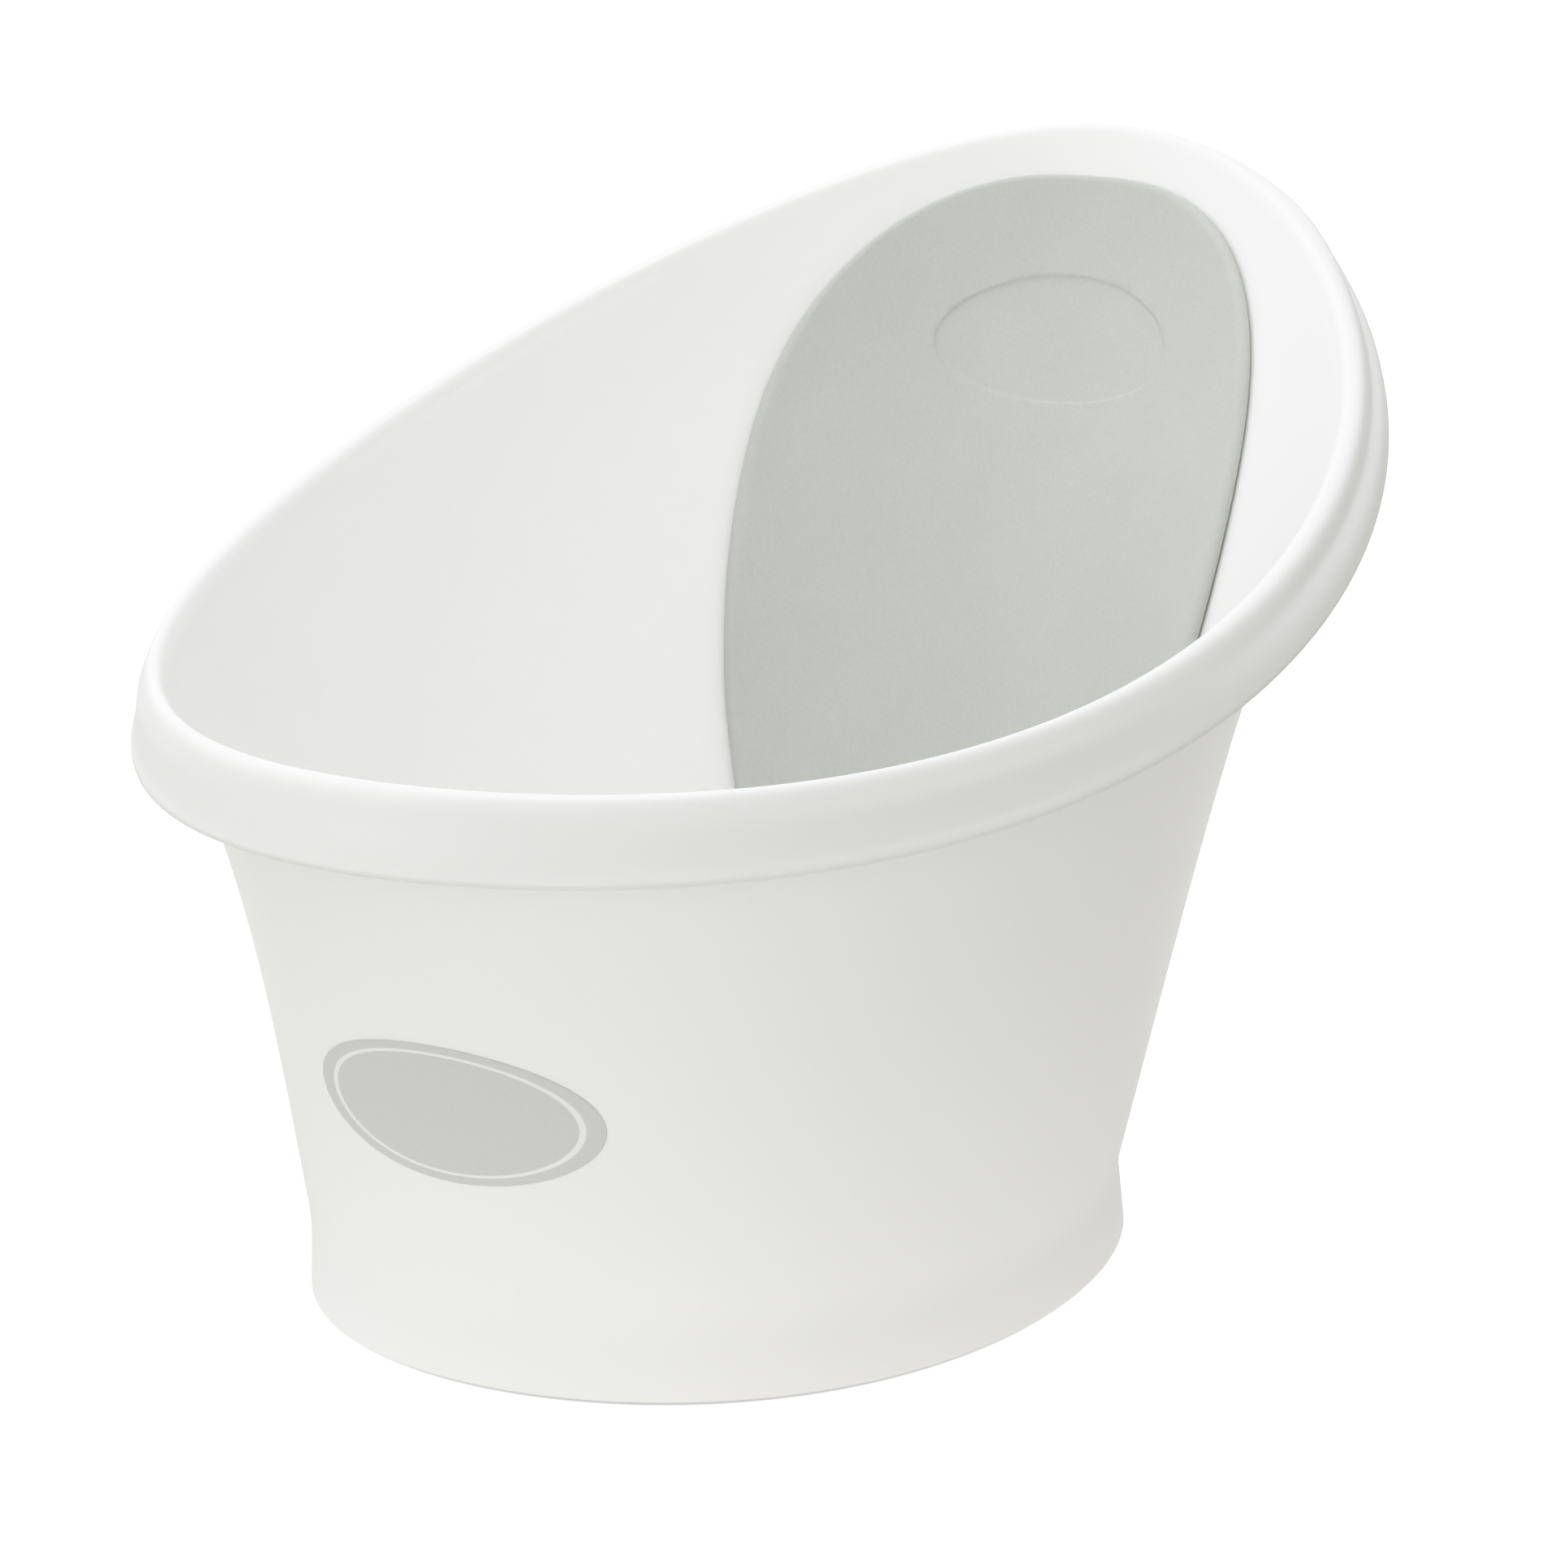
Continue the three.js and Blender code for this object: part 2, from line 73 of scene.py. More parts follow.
BUMP_X, BUMP_HALF, BUMP_H = -70.0, (36.0, 64.0), 30.0
DRAIN_X, DRAIN_HOLE_R, DRAIN_SEAT_R, DRAIN_SEAT_Z = -156.0, 12.5, 20.0, 13.2
DRAIN_BOSS_R, DRAIN_BOSS_Z, PLUG_GAP, PLUG_TOP = 24.0, 9.0, 0.4, 15.8
FEET = ("foot_head_left", "foot_head_right", "foot_end_left", "foot_end_right")
FOOT_R, FOOT_STEM_R, FOOT_BOSS_Z, FOOT_HOLE_R, FOOT_HOLE_TOP = 11.0, 3.2, 5.0, 3.5, 11.0
# depths are measured from the wall's outer face towards the inside of the tub
FILM_GAP, FILM = 0.6, 0.4
FILM_BACK = WALL + FILM_GAP
FILM_FRONT = FILM_BACK + FILM
PAD_BACK = FILM_FRONT + FILM_GAP
PAD_FRONT = PAD_BACK + 4.5
PAD_CENTRE = (1.9, 205.0)             # y, z
RECESS_CENTRE, RECESS_HALF, RECESS_DEEP = (1.5, 268.9), (48.5, 22.5), 0.7
BADGE_CENTRE, BADGE_HALF, BADGE_LIFT, BADGE_T = (10.0, 103.3), (58.5, 25.8), 0.08, 0.26


# ---------------------------------------------------------------- surfaces over angle and height
def poly(value, coefficients):
    return sum(factor * value ** i for i, factor in enumerate(coefficients))


def oval(angle, centre_x, half_x, half_y, shape):
    """Point on an oval and its outward normal: x, y, normal x, normal y."""
    cosine, sine = np.cos(angle), np.sin(angle)
    width = 1 + shape[0] * cosine + shape[1] * cosine * cosine + shape[2] * cosine ** 3
    slope = -sine * (shape[0] + 2 * shape[1] * cosine + 3 * shape[2] * cosine * cosine)
    along_x, along_y = -half_x * sine, half_y * (cosine * width + sine * slope)
    length = np.hypot(along_x, along_y)
    return (centre_x + half_x * cosine, half_y * sine * width,
            along_y / length, -along_x / length)


def swell(angle, settings):
    """A smooth local rise, the same on both sides of the tub."""
    amount, middle, spread = settings
    degrees = np.degrees(np.arccos(np.clip(np.cos(angle), -1, 1)))
    return amount * np.exp(-((degrees - middle) / spread) ** 2)


def crest(angle):
    """The rim's top line: x, y, normal x, normal y, z."""
    x, y, out_x, out_y = oval(angle, RIM_CX, RIM_A, RIM_B, RIM_SHAPE)
    push = swell(angle, RIM_SWELL)
    z = poly(np.cos(angle), RIM_Z) + SWELL_LIFT * push
    return x + push * out_x, y + push * out_y, out_x, out_y, z


def rim_point(angle, out, up):
    """A point at an outward and upward offset from the crest."""
    x, y, out_x, out_y, top = crest(angle)
    return np.stack([x + out * out_x, y + out * out_y, top + up], -1)


def skirt_reach(angle):
    return poly(np.cos(angle), SKIRT_OUT) - swell(angle, RIM_SWELL) - swell(angle, SKIRT_TUCK)


def skirt_drop(angle):
    return poly(np.cos(angle), SKIRT_DROP)


def base_at(angle, out, z):
    x, y, out_x, out_y = oval(angle, BASE_CX, BASE_A, BASE_B, BASE_SHAPE)
    return np.stack([x + out * out_x, y + out * out_y, np.zeros_like(x) + z], -1)


def wall_face(angle, level):
    """The wall's outer face; level runs from 0 at the base ring to 1 at the crest."""
    cosine = np.cos(angle)
    foot = base_at(angle, -RING_DRAFT, RING_TOP)
    x, y, out_x, out_y, top = crest(angle)
    top_x, top_y = x + WALL_TOP_OUT * out_x, y + WALL_TOP_OUT * out_y
    lean = (level + poly(cosine, WALL_BELLY) * level * (level - 1)
            + poly(cosine, WALL_WAVE) * level * (level - 1) * (level - 0.5))
    return np.stack([foot[..., 0] + (top_x - foot[..., 0]) * lean,
                     foot[..., 1] + (top_y - foot[..., 1]) * lean,
                     RING_TOP + (top - RING_TOP) * level], -1)


def wall_depth(angle, level, depth):
    """A point at a depth inside the wall's outer face."""
    angle, level, depth = np.broadcast_arrays(
        np.asarray(angle, float), np.asarray(level, float), np.asarray(depth, float))
    step = 1e-3
    normal = np.cross(wall_face(angle + step, level) - wall_face(angle - step, level),
                      wall_face(angle, level + step) - wall_face(angle, level - step))
    normal /= np.linalg.norm(normal, axis=-1, keepdims=True)
    return wall_face(angle, level) - normal * depth[..., None]


def level_below(angle, drop):
    return 1 - drop / (crest(angle)[4] - RING_TOP)


def bump(x, y):
    """Height of the rounded mound on the tub floor."""
    reach = ((x - BUMP_X) / BUMP_HALF[0]) ** 2 + (y / BUMP_HALF[1]) ** 2
    return np.where(reach < 1, BUMP_H * (1 - np.minimum(reach, 1)) ** 2, 0.0)


def bspline(stations):
    """Rows along a uniform cubic B-spline; stations are (control row, samples on the span after).
    The ends are held by repeating the end rows."""
    rows = [row for row, _ in stations]
    counts = [count for _, count in stations]
    held = rows[:1] * 2 + rows + rows[-1:] * 2
    made = []
    for i, count in enumerate(counts[:1] + counts):
        for u in np.arange(count) / count:
            weights = ((1 - u) ** 3 / 6, (3 * u ** 3 - 6 * u * u + 4) / 6,
                       (-3 * u ** 3 + 3 * u * u + 3 * u + 1) / 6, u ** 3 / 6)
            made.append(sum(weight * row for weight, row in zip(weights, held[i:i + 4])))
    return made + [rows[-1]]


# ---------------------------------------------------------------- mesh helpers
WELD = 1e-6     # metres


def finish_mesh(obj, sharp):
    """Welds, turns the faces outward, shades smooth and keeps edges above sharp degrees crisp."""
    mesh = bmesh.new()
    mesh.from_mesh(obj.data)
    bmesh.ops.remove_doubles(mesh, verts=mesh.verts, dist=WELD)
    bmesh.ops.dissolve_degenerate(mesh, dist=WELD, edges=mesh.edges)
    bmesh.ops.recalc_face_normals(mesh, faces=mesh.faces)
    for face in mesh.faces:
        face.smooth = True
    limit = math.radians(sharp)
    for edge in mesh.edges:
        edge.smooth = not (len(edge.link_faces) == 2 and edge.calc_face_angle(0.0) > limit)
    mesh.to_mesh(obj.data)
    mesh.free()
    obj.data.update()


def new_object(name, verts, faces, sharp):
    mesh = bpy.data.meshes.new(name)
    mesh.from_pydata([tuple(vert) for vert in (np.asarray(verts) * MM).tolist()], [], faces)
    mesh.validate(clean_customdata=False)
    mesh.update()
    obj = bpy.data.objects.new(name, mesh)
    scene.collection.objects.link(obj)
    finish_mesh(obj, sharp)
    return obj


def closed_sheet(name, rows, centres, sharp):
    """Joins closed rows of points in turn and fans the first and last row to their centres."""
    count, size = len(rows), len(rows[0])
    faces = []
    for j in range(count - 1):
        for i in range(size):
            here, ahead = j * size + i, j * size + (i + 1) % size
            faces.append((here, ahead, ahead + size, here + size))
    first, last, tail = count * size, count * size + 1, (count - 1) * size
    faces += [(first, (i + 1) % size, i) for i in range(size)]
    faces += [(last, tail + i, tail + (i + 1) % size) for i in range(size)]
    return new_object(name, np.vstack([np.array(rows).reshape(-1, 3), centres]), faces, sharp)


def lathe(name, profile, segments, x, y=0.0, sharp=35):
    """A solid of revolution about Z through (x, y); its (r, z) profile starts and ends on axis."""
    verts, rows = [], []
    for r, z in profile:
        count = segments if r else 1
        rows.append(range(len(verts), len(verts) + count))
        for k in range(count):
            angle = 2 * math.pi * k / segments
            verts.append((x + r * math.cos(angle), y + r * math.sin(angle), z))
    faces = []
    for low, high in zip(rows, rows[1:]):
        for k in range(segments):
            k2 = (k + 1) % segments
            if len(low) == 1:
                faces.append((low[0], high[k], high[k2]))
            elif len(high) == 1:
                faces.append((low[k], low[k2], high[0]))
            else:
                faces.append((low[k], low[k2], high[k2], high[k]))
    return new_object(name, verts, faces, sharp)


def rounded(profile, steps=4):
    """Rounds the corners of a profile of (r, z, corner radius) and returns (r, z) points."""
    points = [np.array(station[:2], float) for station in profile]
    made = [profile[0][:2]]
    for i in range(1, len(profile) - 1):
        corner, before, after = points[i], points[i - 1] - points[i], points[i + 1] - points[i]
        length_before, length_after = np.linalg.norm(before), np.linalg.norm(after)
        cut = min(profile[i][2], 0.45 * length_before, 0.45 * length_after)
        if cut < 1e-4:
            made.append(tuple(corner))
            continue
        start = corner + before / length_before * cut
        end = corner + after / length_after * cut
        for k in range(steps + 1):
            u = k / steps
            made.append(tuple((1 - u) ** 2 * start + 2 * u * (1 - u) * corner + u * u * end))
    return made + [profile[-1][:2]]


def boolean(obj, other, operation):
    """Joins or cuts obj with other, applies the result and removes other."""
    modifier = obj.modifiers.new("cut", "BOOLEAN")
    modifier.operation = operation
    modifier.solver = "MANIFOLD"
    modifier.object = other
    bpy.context.view_layer.update()
    graph = bpy.context.evaluated_depsgraph_get()
    made = bpy.data.meshes.new_from_object(obj.evaluated_get(graph), depsgraph=graph)
    obj.modifiers.remove(modifier)
    old = obj.data
    obj.data = made
    bpy.data.meshes.remove(old)
    bpy.data.objects.remove(other)


def node_centre(node):
    """Middle of a CAD piece's box in plan."""
    low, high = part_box(node)
    return (low.x + high.x) / 2 / MM, (low.y + high.y) / 2 / MM


# ---------------------------------------------------------------- tub shell
SEGMENTS = 264
EVEN = 2 * math.pi * np.arange(SEGMENTS) / SEGMENTS
ANGLES = EVEN - 0.07 * np.sin(2 * EVEN)     # closer together at both ends of the tub
REACH, DROP = skirt_reach(ANGLES), skirt_drop(ANGLES)
# the shoulder's size follows the skirt's, and it is tighter along the flanks
SHOULDER_WIDE = 1.12 * (REACH / 14.0) ** 0.6 * (1 + swell(ANGLES, ARCH_WIDEN))
SHOULDER_TALL = (DROP / 24.0) ** 0.7
TIGHT = swell(ANGLES, SHOULDER_TIGHT)
FILLET_LEVEL = 0.07                         # wall level where the floor fillet ends
# wall and ring meet in a blend that is tight at the head end and soft round the foot end
BLEND = 1.5 + 5.5 * (0.5 - 0.5 * np.cos(ANGLES))

# rim top: out from the crest line, up, samples
RIM_TOP = ((-4.6, -6.2, 3), (-3.5, -3.9, 4), (-2.5, -1.9, 5), (-1.3, -0.55, 5), (0.1, 0.05, 5),
           (1.4, 0.05, 5))
# outer shoulder: out and up where full, out and up where tight, samples
SHOULDER = ((2.8, -0.4, 2.5, -0.5, 5), (4.1, -1.25, 3.55, -1.5, 5), (5.2, -2.6, 4.4, -2.9, 5),
            (6.0, -4.4, 5.2, -4.6, 4), (6.55, -6.6, 6.2, -6.6, 3), (7.0, -9.0, 7.35, -9.0, 3))
# skirt's lower edge: in from its reach, further in where tight, up from its lowest line, samples
SKIRT_EDGE = ((0.66, 0.7, 6.0, 3), (0.52, 0.35, 4.7, 3), (0.3, 0.1, 3.5, 3), (0.1, 0, 2.5, 3),
              (0, 0, 1.7, 3), (0, 0, 1.1, 4), (0.06, 0, 0.65, 4), (0.25, 0, 0.25, 4),
              (0.6, 0, 0.03, 4), (1.1, 0, 0, 3), (2.0, 0, 0, 3), (2.7, 0, 0.1, 3),
              (2.95, 0, 0.7, 3), (3.05, 0, 2.0, 2))
# rim's underside: out as a factor of the shoulder's width plus a length, up likewise by its height
UNDER_RIM = ((7.0, -2.8, -9.0, -1.0), (5.6, -2.0, -6.4, 0), (4.2, -0.9, 0, -5.2),
             (2.4, 0.2, 0, -5.0))
# base ring's bottom edge: out from the base oval, up from the ring's bottom
RING_EDGE = ((0.0, 1.0), (-0.05, 0.4), (-0.45, 0.03), (-1.1, 0.0), (-2.6, 0.0), (-3.2, 0.1),
             (-3.45, 0.6), (-3.6, 2.0))
# inside corner of ring and floor: out from the base oval, up from the floor's underside
RING_INSIDE = ((-4.2, -4.0), (-4.6, -1.6), (-5.4, -0.3), (-7.0, 0.0), (-9.0, 0.0))
# drain opening above its lower flare: radius, z
DRAIN_CUT = [
    (0, 0), (DRAIN_HOLE_R + 0.8, 0), (DRAIN_HOLE_R + 0.8, DRAIN_BOSS_Z - 0.2),
    (DRAIN_HOLE_R + 0.6, DRAIN_BOSS_Z + 0.3), (DRAIN_HOLE_R, DRAIN_BOSS_Z + 0.9),
    (DRAIN_HOLE_R, DRAIN_SEAT_Z - 0.7), (DRAIN_HOLE_R + 0.2, DRAIN_SEAT_Z - 0.2),
    (DRAIN_HOLE_R + 0.8, DRAIN_SEAT_Z), (DRAIN_SEAT_R - 0.5, DRAIN_SEAT_Z),
    (DRAIN_SEAT_R - 0.15, DRAIN_SEAT_Z + 0.15), (DRAIN_SEAT_R, DRAIN_SEAT_Z + 0.5),
    (DRAIN_SEAT_R, FLOOR_TOP - 0.8), (DRAIN_SEAT_R + 0.25, FLOOR_TOP - 0.25),
    (DRAIN_SEAT_R + 0.9, FLOOR_TOP + 0.05), (DRAIN_SEAT_R + 0.9, 20), (0, 20)]


def floor_corner():
    """Where wall and floor would meet without the fillet, and the fillet's edge on the floor."""
    corner = wall_depth(ANGLES, 0.0, WALL)
    corner[:, 2] = FLOOR_TOP
    _, _, out_x, out_y = oval(ANGLES, BASE_CX, BASE_A, BASE_B, BASE_SHAPE)
    return corner, corner - FLOOR_FILLET * np.stack([out_x, out_y, 0 * out_x], -1)


CORNER, FLOOR_EDGE = floor_corner()


def floor_ring(fraction, z):
    x = BASE_CX + (FLOOR_EDGE[:, 0] - BASE_CX) * fraction
    y = FLOOR_EDGE[:, 1] * fraction
    return np.stack([x, y, z + bump(x, y)], -1)


def inside_stations():
    """The floor's edge, the fillet and the inner wall."""
    stations = [(floor_ring(f, FLOOR_TOP), 2) for f in (0.97, 1.0)]
    wall_foot = wall_depth(ANGLES, FILLET_LEVEL, WALL)
    for u in (0.2, 0.4, 0.6, 0.8):
        row = (1 - u) ** 2 * FLOOR_EDGE + 2 * u * (1 - u) * CORNER + u * u * wall_foot
        stations.append((row, 2))
    climb = level_below(ANGLES, RIM_DEPTH) - FILLET_LEVEL
    for f in np.linspace(0, 1, 15):
        stations.append((wall_depth(ANGLES, FILLET_LEVEL + climb * f, WALL), 2))
    return stations


def rim_stations():
    """Over the rim, down the skirt, round its edge and back up under the rim."""
    offsets = list(RIM_TOP)
    for out, up, tight_out, tight_up, samples in SHOULDER:
        offsets.append(((out + (tight_out - out) * TIGHT) * SHOULDER_WIDE,
                        (up + (tight_up - up) * TIGHT) * SHOULDER_TALL, samples))

    def span(start, end, fractions):
        for f in fractions:
            offsets.append((start[0] + (end[0] - start[0]) * f,
                            start[1] + (end[1] - start[1]) * f, 2))

    span(offsets[-1], (REACH - 0.78 - 0.9 * TIGHT, 7.4 - DROP), (0.25, 0.5, 0.75))
    for inward, tight_in, up, samples in SKIRT_EDGE:
        offsets.append((REACH - inward - tight_in * TIGHT, up - DROP, samples))
    under = [(wide * SHOULDER_WIDE + out, tall * SHOULDER_TALL + up, 4)
             for wide, out, tall, up in UNDER_RIM]
    span((REACH - 3.1, 3.0 - DROP), under[0], (0.33, 0.66))
    return [(rim_point(ANGLES, out, up), samples) for out, up, samples in offsets + under]


def outside_stations():
    """Down the outer wall and the base ring, round its edge and in under the floor."""
    top = level_below(ANGLES, RIM_DEPTH)
    blend_level = BLEND / (crest(ANGLES)[4] - RING_TOP)
    low = 2.2 * blend_level
    stations = [(wall_face(ANGLES, low + (top - low) * (f - 0.1) / 0.9), 2)
                for f in np.linspace(1, 0.1, 20)]
    stations += [(wall_face(ANGLES, f * blend_level), 3) for f in (1.5, 0.8)]
    below_top = [f * BLEND for f in (0.8, 1.6)]
    below_top += [1.6 * BLEND + (RING_HEIGHT - 1.6 * BLEND) * f for f in (0.5, 0.75, 0.9)]
    for below in below_top:
        out = -RING_DRAFT * (1 - below / RING_HEIGHT)
        stations.append((base_at(ANGLES, out, RING_TOP - below), 3))
    for table, z in ((RING_EDGE, RING_BOTTOM), (RING_INSIDE, FLOOR_UNDER)):
        stations += [(base_at(ANGLES, out, z + up), 3) for out, up in table]
    return stations


def build_tub():
    rows = [floor_ring(f, FLOOR_TOP)
            for f in (*np.linspace(0.02, 0.66, 34), *np.linspace(0.7, 0.94, 6))]
    rows += bspline(inside_stations() + rim_stations() + outside_stations())
    rows += [floor_ring(f, FLOOR_UNDER)
             for f in (*np.linspace(0.96, 0.6, 5), *np.linspace(0.56, 0.03, 18))]
    mound = float(bump(np.array(BASE_CX), np.array(0.0)))
    centres = [[BASE_CX, 0, z + mound] for z in (FLOOR_TOP, FLOOR_UNDER)]
    tub = closed_sheet("tub_shell_moulding", rows, centres, sharp=60)
    add_drain(tub)
    for node in FEET:
        add_foot_socket(tub, *node_centre(node))
    finish_mesh(tub, 40)
    # painted shade along the lower edges of the skirt and the base ring
    paint_edge_shade(tub)
    return tub


def add_drain(tub):
    boss_top = FLOOR_TOP - 1.6
    profile = [(0, DRAIN_BOSS_Z, 0), (DRAIN_BOSS_R, DRAIN_BOSS_Z, 1.0),
               (DRAIN_BOSS_R + 0.9, boss_top, 0), (0, boss_top, 0)]
    boolean(tub, lathe("drain_boss", rounded(profile), 96, DRAIN_X), "UNION")
    boolean(tub, lathe("drain_cut", DRAIN_CUT, 96, DRAIN_X), "DIFFERENCE")


def add_foot_socket(tub, x, y):
    """A boss under the floor with a blind hole for the foot's stem."""
    boss_top = FLOOR_TOP - 1.5
    profile = [(0, FOOT_BOSS_Z, 0), (FOOT_R + 1.3, FOOT_BOSS_Z, 0.8),
               (FOOT_R + 1.9, boss_top, 0), (0, boss_top, 0)]
    boolean(tub, lathe("foot_boss", rounded(profile), 64, x, y), "UNION")
    hole = [(0, 0), (FOOT_HOLE_R, 0), (FOOT_HOLE_R, FOOT_HOLE_TOP), (0, FOOT_HOLE_TOP)]
    boolean(tub, lathe("foot_hole", hole, 32, x, y), "DIFFERENCE")


# painted shade line along the lower edges: height above the edge where it ends, height over which
# it fades, full strength
SKIRT_SHADE, RING_SHADE = (2.4, 1.9, 0.32), (0.9, 0.7, 0.45)
SKIRT_SHADE_HALF = 4.0    # the skirt's painted shade stays this close to its reach
RIM_RADIUS = 230.0       # rough radius of the rim, turns a distance along it into an angle


def paint_edge_shade(tub):
    """A vertex value of painted shade, highest along the lower edges of the skirt and the base
    ring.
    """
    points = np.empty(len(tub.data.vertices) * 3)
    tub.data.vertices.foreach_get("co", points)
    points = points.reshape(-1, 3) / MM
    angle = np.arctan2(points[:, 1] / RIM_B, (points[:, 0] - RIM_CX) / RIM_A)
    for _ in range(6):   # closes in on the nearest place on the rim line
        x, y, out_x, out_y, _top = crest(angle)
        angle = angle + ((points[:, 0] - x) * -out_y + (points[:, 1] - y) * out_x) / RIM_RADIUS
    x, y, out_x, out_y, top = crest(angle)
    out = (points[:, 0] - x) * out_x + (points[:, 1] - y) * out_y

    def line(height, inside, settings):
        end, fade, strength = settings
        return strength * np.where(inside, np.clip((end - height) / fade, 0, 1), 0.0)

    skirt = line(points[:, 2] - (top - skirt_drop(angle)),
                 np.abs(out - skirt_reach(angle)) < SKIRT_SHADE_HALF, SKIRT_SHADE)
    ring = line(points[:, 2] - RING_BOTTOM, out < 0, RING_SHADE)
    attribute = tub.data.attributes.new("painted_edge_shade", "FLOAT", "POINT")
    attribute.data.foreach_set("value", np.maximum(skirt, ring).astype(np.float32))


# ---------------------------------------------------------------- sheets that follow the wall
# backrest outline: z, half width
PAD_OUTLINE = (
    (30, 39.6), (34, 48.4), (42, 55.2), (62, 63.5), (90, 72.6), (116.5, 80.4), (146.6, 88.6),
    (176, 94.1), (201, 97.2), (225, 98.6), (245, 98.3), (262, 96.2), (279, 91.4), (293, 84.3),
    (305, 74.6), (314, 63.0), (321, 48.3), (325.4, 31.7), (326.8, 18.4))


def locate(y, z, depth, start):
    """Wall angle and level whose point at a depth has the given y and z, by Newton's method."""
    y, z = np.broadcast_arrays(np.asarray(y, float), np.asarray(z, float))
    angle, level = np.full(y.shape, float(start)), np.full(y.shape, 0.5)
    step = 1e-4
    for _ in range(30):
        point = wall_depth(angle, level, depth)
        by_angle = (wall_depth(angle + step, level, depth) - point) / step
        by_level = (wall_depth(angle, level + step, depth) - point) / step
        miss_y, miss_z = point[..., 1] - y, point[..., 2] - z
        y_angle, y_level = by_angle[..., 1], by_level[..., 1]
        z_angle, z_level = by_angle[..., 2], by_level[..., 2]
        det = y_angle * z_level - y_level * z_angle
        angle = angle + np.clip((-miss_y * z_level + miss_z * y_level) / det, -0.3, 0.3)
        level = level + np.clip((-miss_z * y_angle + miss_y * z_angle) / det, -0.3, 0.3)
        if np.abs(miss_y).max() + np.abs(miss_z).max() < 1e-6:
            break
    return angle, level


def pad_outline(count):
    """The backrest's smooth closed outline (y, z), evenly spaced from the bottom middle."""
    bottom, top, half = PAD_OUTLINE[0][0], PAD_OUTLINE[-1][0], PAD_OUTLINE[0][1]
    control = [(0, bottom - 0.6), (half * 0.5, bottom - 0.6)]
    control += [(width, z) for z, width in PAD_OUTLINE] + [(0, top + 0.3)]
    loop = np.array(control + [(-y, z) for y, z in control[1:-1]][::-1], float)
    points = []
    for i in range(len(loop)):    # centripetal Catmull-Rom spans
        p0, p1, p2, p3 = (loop[(i + k) % len(loop)] for k in (-1, 0, 1, 2))
        gap1, gap2, gap3 = (max(np.linalg.norm(end - start), 1e-6) ** 0.5
                            for start, end in ((p0, p1), (p1, p2), (p2, p3)))
        leave = ((p1 - p0) / gap1 - (p2 - p0) / (gap1 + gap2) + (p2 - p1) / gap2) * gap2
        arrive = ((p2 - p1) / gap2 - (p3 - p1) / (gap2 + gap3) + (p3 - p2) / gap3) * gap2
        for u in np.arange(12) / 12:
            points.append((2 * u ** 3 - 3 * u * u + 1) * p1 + (u ** 3 - 2 * u * u + u) * leave
                          + (-2 * u ** 3 + 3 * u * u) * p2 + (u ** 3 - u * u) * arrive)
    closed = np.array(points + points[:1])
    lengths = np.linalg.norm(closed[1:] - closed[:-1], axis=1)
    travel = np.concatenate([[0], np.cumsum(lengths)])
    want = np.linspace(0, travel[-1], count, endpoint=False)
    even = np.stack([np.interp(want, travel, closed[:, k]) for k in (0, 1)], -1)
    return even + np.array([PAD_CENTRE[0], 0.0])


def ellipse_outline(centre, half, count):
    angle = 2 * math.pi * np.arange(count) / count - math.pi / 2
    return np.stack([centre[0] + half[0] * np.cos(angle),
                     centre[1] + half[1] * np.sin(angle)], -1)


def inset(outline, distance):
    """Moves a closed outline inwards along its normals."""
    after = np.roll(outline, -1, 0)
    along = after - np.roll(outline, 1, 0)
    along /= np.linalg.norm(along, axis=1, keepdims=True)
    normal = np.stack([-along[:, 1], along[:, 0]], -1)
    area = np.sum(outline[:, 0] * after[:, 1] - after[:, 0] * outline[:, 1])
    distance = np.asarray(distance, float)[..., None]
    return outline + normal * (distance if area > 0 else -distance)


def wall_sheet(name, outline, centre, rings, side, sharp, start=0.0, seek=PAD_FRONT):
    """A closed sheet that follows the wall. rings are fractions from the centre to the inner
    loop; side holds (inset, depth) from the first face's inner loop round to the second's.
    start is the angle where the search begins and seek the depth it is made at."""
    centre = np.array(centre, float)
    loops = [(inset(outline, distance), depth) for distance, depth in side]

    def face(loop, depth):
        return [(centre + (loop - centre) * f, depth) for f in rings]

    def follow(loop, depth):
        angle, level = locate(loop[..., 0], loop[..., 1], seek, start)
        return wall_depth(angle, level, depth)

    layers = face(*loops[0]) + loops + face(*loops[-1])[::-1]
    rows = [follow(loop, depth) for loop, depth in layers]
    centres = [follow(centre, loops[0][1]), follow(centre, loops[-1][1])]
    return closed_sheet(name, rows, centres, sharp)


